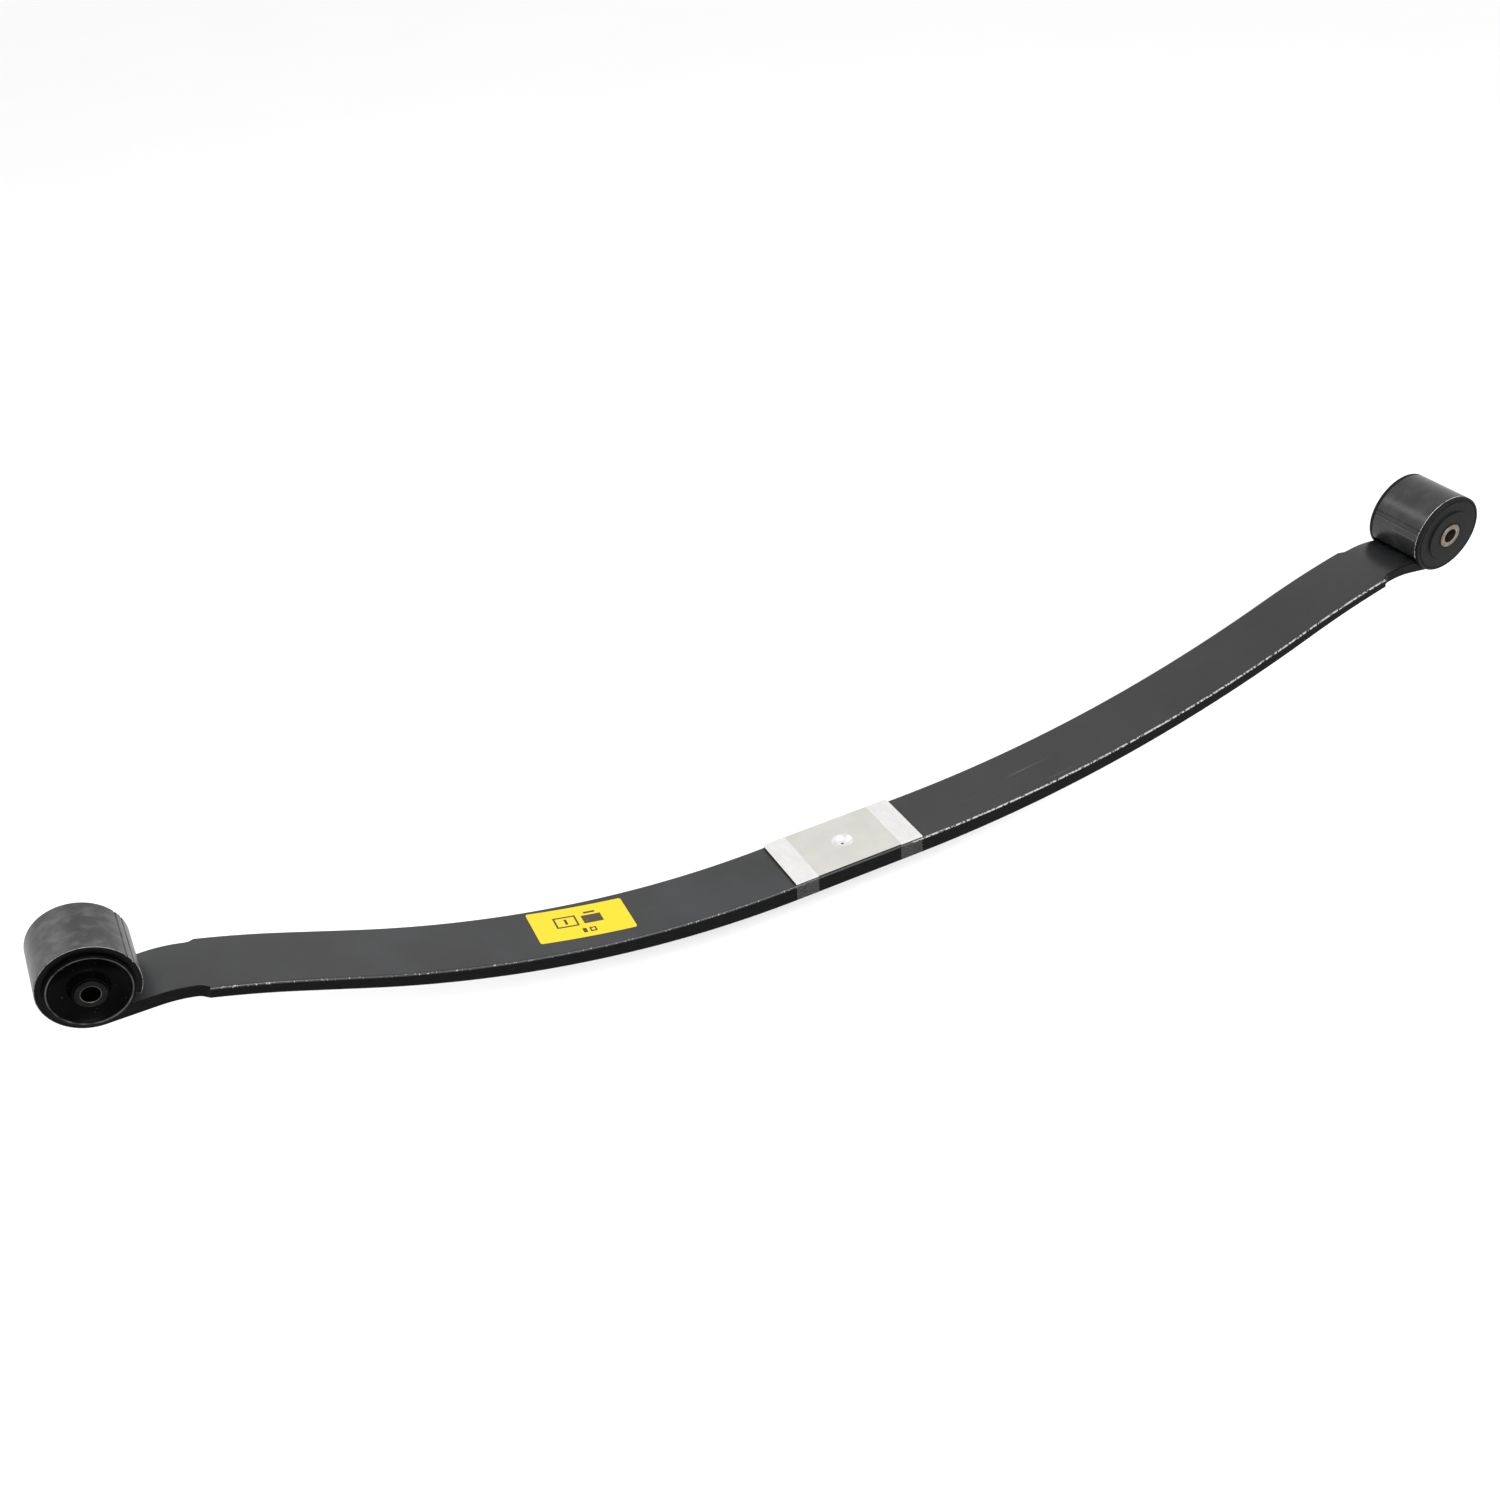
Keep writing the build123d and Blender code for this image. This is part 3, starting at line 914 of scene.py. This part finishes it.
    def build_seat(self) -> bpy.types.Object:
        """Make the flat seat with its centre hole and the dimple's pocket."""
        thickness = FRONT_ARM.seat_thickness
        joint = FRONT_ARM.joint
        bm = bmesh.new()
        self.draw_stock(bm, [-joint, 0.0, joint])
        move(bm, (0, 0, thickness / 2))
        broad = [face for face in bm.faces if abs(face.normal.z) > 0.99]
        bmesh.ops.delete(bm, geom=broad, context="FACES_ONLY")
        rims = [edge for edge in bm.edges if edge.is_boundary]
        pocket = bmesh.ops.create_circle(bm, segments=CIRCLE_STEPS, radius=self.pocket_radius)
        move(bm, (0, 0, thickness), pocket["verts"])
        wall = list({edge for vert in pocket["verts"] for edge in vert.link_edges})
        top = [edge for edge in rims if edge.verts[0].co.z > thickness / 2]
        bottom = [edge for edge in rims if edge.verts[0].co.z < thickness / 2]
        bmesh.ops.triangle_fill(bm, use_beauty=True, edges=top + wall)
        floor_height = thickness - self.pocket_depth
        steps = ((self.pocket_radius, floor_height), (self.hole_radius, floor_height),
                 (self.hole_radius, 0.0))
        radius, height = self.pocket_radius, thickness
        for next_radius, next_height in steps:
            wall = grow_ring(bm, wall, next_radius / radius, next_height - height)
            radius, height = next_radius, next_height
        bmesh.ops.triangle_fill(bm, use_beauty=True, edges=bottom + wall)
        self.keep_stock(bm)
        self.mark_edges(bm, joint + self.width, thickness / 2)
        return finish_mesh(bm, "leaf_seat")

    def build(self) -> None:
        """Make, paint and place the leaf's three meshes."""
        # Darker, barely glossy copy of the leaf paint for the side faces: painted shade.
        edge = EdgePaint().make()
        seat = self.build_seat()
        dress(seat, LeafPaint("leaf_seat_paint").make(), edge)
        settle(seat, "main_leaf")
        # The rear arm's high chip setting and low sparse threshold turn the rim marks into
        # near-continuous pale lines: painted highlight along the eye's rim and the rounded edges,
        # beside real chip marks and scratches.
        wear_and_highlight = {End.FRONT: {"mottle": 0.5, "chip_and_highlight": 0.25, "scratches": 0.12, "level": 0.025,
                            "specular": 0.35, "speckle_and_highlight": 0.5},
                End.REAR: {"mottle": 0.10, "chip_and_highlight": 1.0, "scratches": 0.8, "level": 0.012,
                           "specular": 0.45, "speckle_and_highlight": 0.55, "sparse": 0.44,
                           "roughness": 0.26}}
        for arm in (FRONT_ARM, REAR_ARM):
            piece = self.build_arm(arm)
            paint = LeafPaint(f"leaf_{arm.end.word}_paint", eye_from=arm.wrap_start,
                              half_width=self.width / 2, **wear_and_highlight[arm.end])
            dress(piece, paint.make(), edge)
            settle(piece, "main_leaf", arm=arm)


# ---- What lies on the leaf ----


@dataclass
class SeatPlate:
    """Light sheet on the seat, with a dimple pressed down at its centre."""

    corner: float = 4 * MM
    thickness: float = 2.5 * MM
    rim_bevel: float = 0.35 * MM
    dimple: tuple[tuple[float, float], ...] = (
        (1.6 * MM, 3.95 * MM), (3.4 * MM, 3.85 * MM), (4.8 * MM, 3.5 * MM),
        (6.0 * MM, 2.85 * MM), (9.0 * MM, 0.75 * MM), (9.8 * MM, 0.25 * MM),
        (10.5 * MM, 0.0))

    def build_dimple(self, bm: bmesh.types.BMesh, top: float) -> list[bmesh.types.BMEdge]:
        """Draw the dimple from its floor out to its lip at the top's height, and return that."""
        radius, depth = self.dimple[0]
        floor = bmesh.ops.create_circle(bm, cap_ends=True, segments=CIRCLE_STEPS, radius=radius)
        move(bm, (0, 0, top - depth), floor["verts"])
        loop = list({edge for vert in floor["verts"] for edge in vert.link_edges})
        for next_radius, next_depth in self.dimple[1:]:
            loop = grow_ring(bm, loop, next_radius / radius, depth - next_depth)
            radius, depth = next_radius, next_depth
        return loop

    def build(self) -> None:
        """Make, dress and place the plate."""
        low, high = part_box("seat_plate")
        size = high - low
        bm = bmesh.new()
        outline = rounded_outline(bm, size.x, size.y, self.corner, 6)
        move(bm, (0, 0, high.z))
        lip = self.build_dimple(bm, high.z)
        for face in bm.faces:
            face.material_index = PlateFace.DIMPLE.value
        flat = bmesh.ops.triangle_fill(bm, use_beauty=True, edges=outline + lip)
        for face in flat["geom"]:
            if isinstance(face, bmesh.types.BMFace):
                face.material_index = PlateFace.SHEET.value
        grown = bmesh.ops.extrude_face_region(bm, geom=bm.faces[:], use_keep_orig=True)
        move(bm, (0, 0, -self.thickness), verts_of(grown))
        rim = [edge for edge in bm.edges if self.on_rim(edge, size, high.z)]
        round_off(bm, rim, self.rim_bevel, 3, affect="EDGES")
        bm.normal_update()
        for face in bm.faces:
            if face.material_index == PlateFace.SHEET.value and abs(face.normal.z) < 0.5:
                face.material_index = PlateFace.SIDE.value
        plate = finish_mesh(bm, "seat_plate_sheet")
        # The side faces take the near-black painted-shade edge material.
        dress(plate, PlateSheet().make(), DimpleMetal().make(),
              EdgePaint("plate_sheared_edge", 0.012, 0.15, "").make())
        settle(plate, "seat_plate")

    def on_rim(self, edge: bmesh.types.BMEdge, size: Vector, top: float) -> bool:
        """Whether an edge runs round the top of the plate's outline."""
        reach = self.dimple[-1][0] + self.corner
        outside = all(abs(vert.co.z - top) < 1e-7 and vert.co.xy.length > reach
                      for vert in edge.verts)
        return outside and len(edge.link_faces) == 2 and edge.calc_face_angle(0.0) > 1.0


@dataclass
class TapeBand:
    """Film wound once round the leaf and one end of the plate."""

    end: End
    packed_wall: float = 0.3 * MM
    wall: float = 0.18 * MM
    gap: float = 0.06 * MM
    corner: float = 0.9 * MM
    lower_corner: float = 2.2 * MM
    film_split: float = 1.2 * MM

    def build(self, over_plate: bpy.types.Material, over_paint: bpy.types.Material) -> None:
        """Make, dress and place the band.

        Args:
            over_plate: The film's look where it is stuck to the plate.
            over_paint: Its look on the leaf's sides and underside, nearly clear so that the band
                reads dark there: painted shade.
        """
        node = f"tape_band_{self.end.word}"
        low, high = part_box(node)
        size, centre = high - low, (high + low) / 2
        inset = 2 * (self.packed_wall - self.wall - self.gap)
        bm = bmesh.new()
        rectangle(bm, size.y - inset, size.z - inset)
        for radius, half in ((self.corner, 1), (self.lower_corner, -1)):
            chosen = [vert for vert in bm.verts if vert.co.y * half > size.z / 2 - inset]
            round_off(bm, chosen, radius, 5)
        bmesh.ops.delete(bm, geom=bm.faces[:], context="FACES_ONLY")
        bmesh.ops.rotate(bm, verts=bm.verts, cent=(0, 0, 0), matrix=UP_TO_YZ)
        move(bm, (low.x, 0, centre.z))
        loop = bm.edges[:]
        grown = bmesh.ops.extrude_edge_only(bm, edges=loop)
        move(bm, (size.x, 0, 0), verts_of(grown))
        bmesh.ops.recalc_face_normals(bm, faces=bm.faces[:])
        bmesh.ops.solidify(bm, geom=bm.faces[:], thickness=self.wall)
        # Faces below the band's top take the nearly clear film: painted shade on its sides and
        # underside.
        for face in bm.faces:
            face.material_index = int(face.calc_center_median().z < high.z - self.film_split)
        band = finish_mesh(bm, f"tape_film_{self.end.word}")
        dress(band, over_plate, over_paint)
        settle(band, node)


@dataclass
class LoadLabel:
    """Yellow label stuck along the front arm's top face."""

    length: float = 93.6 * MM
    width: float = 46 * MM
    corner: float = 2.2 * MM
    centre_x: float = 271 * MM
    centre_y: float = 5 * MM
    turn: float = -2.1
    gap: float = 0.03 * MM
    thickness: float = 0.14 * MM
    step: float = 4 * MM
    marks: tuple[Mark, ...] = in_mm(
        Mark,
        (14, 3, 22, 16, 1.9), (14, 3, 2.6, 8), (-11.5, 2.2, 19, 12), (-11.5, 12, 11, 2.6),
        (1, -13.5, 4, 6.5), (-7, -13.5, 6.5, 6.5, 1.7))

    def build(self) -> None:
        """Make, print and place the label."""
        arm = FRONT_ARM
        radius = arm.camber_radius - arm.seat_thickness / 2
        run = arm.camber_radius * asin((self.centre_x - arm.half_seat) / radius)
        centre = arm.seat_run + run
        bm = bmesh.new()
        rounded_outline(bm, self.length, self.width, self.corner, 4)
        bmesh.ops.edgeloop_fill(bm, edges=bm.edges[:])
        cuts = round(self.length / self.step)
        for count in range(1, cuts):
            place = -self.length / 2 + self.length * count / cuts
            bmesh.ops.bisect_plane(bm, geom=bm.verts[:] + bm.edges[:] + bm.faces[:],
                                   plane_co=(place, 0, 0), plane_no=(1, 0, 0))
        grown = bmesh.ops.extrude_face_region(bm, geom=bm.faces[:], use_keep_orig=True)
        move(bm, (0, 0, self.thickness), verts_of(grown))
        layer = bm.verts.layers.float_vector.new("flat")
        spin = Matrix.Rotation(radians(-self.turn), 3, "Z")
        for vert in bm.verts:
            vert[layer] = vert.co
            turned = spin @ vert.co
            distance = centre + turned.x
            lift = arm.thickness(distance) / 2 + self.gap + vert.co.z
            vert.co = arm.bend(distance, turned.y + self.centre_y, lift)
        label = finish_mesh(bm, "load_label_film")
        dress(label, LabelPrint(self.marks).make())
        settle(label, "load_label", arm=arm)


# ---- Eye bushes ----


@dataclass(frozen=True)
class Corner:
    """One corner of a turned profile: radius, distance across from mid-plane, rounding."""

    radius: float
    across: float
    rounding: float = 0.0


@dataclass
class EyeBush:
    """Rubber and inner sleeve of one eye, turned round the bolt's axis."""

    end: End
    rubber_finish: Rubber
    sleeve_colour: tuple[float, float, float, float]
    sleeve_roughness: float
    sleeve_slot: str
    rim_level: float
    half_profile: tuple[Corner, ...]
    sleeve_radius: float = 12 * MM
    bolt_radius: float = 7.25 * MM
    sleeve_half: float = 38 * MM
    rim_span: tuple[float, float] = (0.1 * MM, 0.6 * MM)
    turns: int = 112

    @property
    def centre(self) -> Vector:
        """Centre of the eye, from the inner sleeve's place in the frame."""
        low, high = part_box(f"{self.end.word}_bush_inner_sleeve")
        return (low + high) / 2

    def spin_ring(self, name: str, corners: list[Corner]) -> bpy.types.Object:
        """Turn a closed profile into a ring round the eye's axis.

        Args:
            name: Name of the piece.
            corners: The profile's corners in order, with Y from the mid-plane.

        Returns:
            The ring.
        """
        bm = bmesh.new()
        points = [bm.verts.new((corner.radius, corner.across, 0)) for corner in corners]
        bm.faces.new(points)
        for radius in sorted({corner.rounding for corner in corners if corner.rounding}):
            chosen = [vert for vert in bm.verts
                      for corner in corners
                      if corner.rounding == radius
                      and (vert.co - Vector((corner.radius, corner.across, 0))).length < 1e-7]
            round_off(bm, chosen, radius, 4)
        bmesh.ops.delete(bm, geom=bm.faces[:], context="FACES_ONLY")
        bmesh.ops.spin(bm, geom=bm.verts[:] + bm.edges[:], cent=(0, 0, 0), axis=(0, 1, 0),
                       dvec=(0, 0, 0), angle=2 * pi, steps=self.turns, use_merge=True,
                       use_duplicate=False)
        move(bm, self.centre)
        return finish_mesh(bm, name, 35.0)

    def mirrored(self, half: tuple[Corner, ...]) -> list[Corner]:
        """A closed profile from its half on one side of the mid-plane."""
        far = [Corner(corner.radius, -corner.across, corner.rounding) for corner in half]
        return list(half) + far[::-1]

    def steel(self, thing: str, colour: tuple[float, float, float, float],
              roughness: float) -> bpy.types.Material:
        """Steel for one of the bush's things, turned round its axis."""
        name = f"{self.end.word}_{thing}_steel"
        return SleeveSteel(name, tuple(self.centre), colour, roughness).make()

    def build_rubber(self) -> None:
        """Make, dress and place the rubber."""
        rubber = self.spin_ring(f"{self.end.word}_rubber_bush", self.mirrored(self.half_profile))
        dress(rubber, self.rubber_finish.make(self.centre))
        settle(rubber, f"{self.end.word}_bush_rubber", f"{self.end.word}_eye")

    def build_sleeve(self) -> None:
        """Make, dress and place the inner sleeve."""
        half = (Corner(self.bolt_radius, self.sleeve_half, 0.5 * MM),
                Corner(self.sleeve_radius, self.sleeve_half, 0.8 * MM))
        sleeve = self.spin_ring(f"{self.end.word}_sleeve_tube", self.mirrored(half))
        dress(sleeve, self.steel("sleeve", self.sleeve_colour, self.sleeve_roughness),
              self.steel("rim", grey(self.rim_level, 0.12), 0.3))
        for face in sleeve.data.polygons:
            offset = face.center - self.centre
            beyond = hypot(offset.x, offset.z) - self.bolt_radius
            face.material_index = int(self.rim_span[0] < beyond < self.rim_span[1])
        settle(sleeve, f"{self.end.word}_bush_inner_sleeve",
               f"{self.end.word}_sleeve")

    def dress_shell(self, nodes: dict[str, bpy.types.Object]) -> None:
        """Give the outer sleeve, which keeps its CAD mesh, its own steel."""
        shell = nodes[f"{self.end.word}_bush_outer_sleeve"]
        shell.material_slots[0].material = self.steel("shell", (0.30, 0.30, 0.31, 1.0), 0.42)

    def build(self, nodes: dict[str, bpy.types.Object]) -> None:
        """Make the bush's pieces."""
        self.build_rubber()
        self.build_sleeve()
        self.dress_shell(nodes)


def front_bush() -> EyeBush:
    """The front bush: a dished rubber with a rounded rim and a small boss."""
    profile = in_mm(
        Corner,
        (12.05, 36.5, 0.3), (13.4, 36.3, 0.5), (14.2, 33.0, 0.9), (15.6, 27.6, 2.0),
        (22.0, 27.6, 3.5), (29.4, 32.6, 1.2), (31.0, 34.6, 0.7), (33.4, 34.4, 1.2),
        (33.5, 30.25, 0.4), (26.45, 30.25))
    # 31.2 mm is the radius of the painted highlight round the rim's crest.
    rubber = Rubber("front_rubber", 0.001, 0.12, 0.36, 0.02, 31.2 * MM)
    return EyeBush(End.FRONT, rubber, grey(0.012, 0.03), 0.30, "sleeve_dark", 0.14, profile)


def rear_bush() -> EyeBush:
    """The rear bush: a flat flange with a rim groove and a raised disc."""
    profile = in_mm(
        Corner,
        (12.05, 36.6, 0.3), (13.3, 36.4, 0.4), (14.0, 36.95, 0.3), (24.9, 36.95, 0.7),
        (25.1, 34.9, 0.4), (35.2, 34.7, 0.3), (35.6, 33.7, 0.2), (36.4, 33.7, 0.2),
        (36.8, 34.5, 0.3), (38.9, 33.9, 0.8), (39.0, 30.25, 0.4), (26.45, 30.25))
    rubber = Rubber("rear_rubber", 0.006, 0.35, 0.5, 0.09)
    return EyeBush(End.REAR, rubber, (0.24, 0.205, 0.175, 1.0), 0.36, "sleeve_bare", 0.42,
                   profile)


# ---- Studio ----


@dataclass(frozen=True)
class Softbox:
    """A soft rectangular light that faces a point."""

    name: str
    place: tuple[float, float, float]
    aim: tuple[float, float, float]
    size: tuple[float, float]
    power: float


@dataclass
class Studio:
    """Camera, pale floor and soft lights."""

    target: tuple[float, float, float] = (-0.1593, -0.0939, 0.0185)
    distance: float = 1.3552
    azimuth: float = 22.56
    elevation: float = 42.61
    roll: float = 5.91
    lens: float = 36.02
    shift: tuple[float, float] = (0.0069, 0.1375)
    floor_size: float = 14.0
    floor_height: float = -60 * MM
    world_strength: float = 1.06
    softboxes: tuple[Softbox, ...] = (
        Softbox("front_softbox", (0.1, -1.55, 1.55), (0, 0, 0), (1.6, 0.5), 38.0),
        Softbox("back_softbox", (-1.4, 1.6, 1.9), (0, 0, 0.1), (0.9, 0.7), 8.0),
    )

    def make_camera(self) -> None:
        """Place the camera and make it the scene's."""
        turn, tilt, roll = (radians(a) for a in (self.azimuth, self.elevation, self.roll))
        forward = Vector((sin(turn) * cos(tilt), cos(turn) * cos(tilt), -sin(tilt)))
        level = forward.cross(Vector((0, 0, 1))).normalized()
        upright = level.cross(forward)
        up = upright * cos(roll) + level * sin(roll)
        right = forward.cross(up)
        data = bpy.data.cameras.new("camera")
        data.sensor_width = 36.0
        data.lens = self.lens
        data.shift_x, data.shift_y = self.shift
        camera = add_object("camera", data)
        turned = Matrix((right, up, -forward)).transposed().to_4x4()
        turned.translation = Vector(self.target) - forward * self.distance
        camera.matrix_world = turned
        bpy.context.scene.camera = camera

    def make_floor(self) -> None:
        """Lay a large pale floor, clear of the eyes at full travel."""
        bm = bmesh.new()
        rectangle(bm, self.floor_size, self.floor_size)
        move(bm, (0, 0, self.floor_height))
        mesh = bpy.data.meshes.new("studio_floor")
        bm.to_mesh(mesh)
        bm.free()
        floor = add_object("studio_floor", mesh)
        paper = Finish("floor_paper")
        cloud = paper.noise(paper.place(), 3, 3)
        paper.set(base_color=paper.blend(cloud, grey(0.89), grey(0.91)), roughness=0.9)
        paper.set(specular_ior_level=0.1)
        dress(floor, paper.material)

    def make_lights(self) -> None:
        """Light the scene from a pale sky and soft boxes that the camera doesn't see."""
        world = bpy.data.worlds.new("studio_sky")
        world.use_nodes = True
        sky = world.node_tree.nodes["Background"]
        sky.inputs["Color"].default_value = (1.0, 0.992, 0.997, 1.0)
        sky.inputs["Strength"].default_value = self.world_strength
        bpy.context.scene.world = world
        for box in self.softboxes:
            data = bpy.data.lights.new(box.name, "AREA")
            data.shape = "RECTANGLE"
            data.size, data.size_y = box.size
            data.energy = box.power
            light = add_object(box.name, data)
            light.location = box.place
            facing = Vector(box.aim) - Vector(box.place)
            light.rotation_mode = "QUATERNION"
            light.rotation_quaternion = facing.to_track_quat("-Z", "Y")
            light.visible_camera = False

    def build(self) -> None:
        """Set up the whole studio."""
        bpy.context.scene.view_settings.view_transform = "Standard"
        self.make_camera()
        self.make_floor()
        self.make_lights()


def corners(bounds: tuple[Vector, Vector]) -> list[list[float]]:
    """A box's two corners as plain lists of numbers."""
    return [[float(part) for part in corner] for corner in bounds]


def main() -> None:
    """Build the spring's looks round its frame."""
    logging.basicConfig(level=logging.INFO, format="%(name)s %(message)s")
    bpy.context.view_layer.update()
    Studio().build()
    Leaf().build()
    SeatPlate().build()
    over_plate = TapeFilm("tape_film_over_plate", 0.55, 0.74).make()
    # Nearly clear film for the band's sides and underside: the black paint showing through, and
    # painted shade that keeps them dark.
    over_paint = TapeFilm("tape_film_over_paint", 0.022, 0.74).make()
    for end in End:
        TapeBand(end).build(over_plate, over_paint)
    LoadLabel().build()
    for bush in (front_bush(), rear_bush()):
        bush.build(frame["nodes"])


if __name__ == "__main__":
    main()
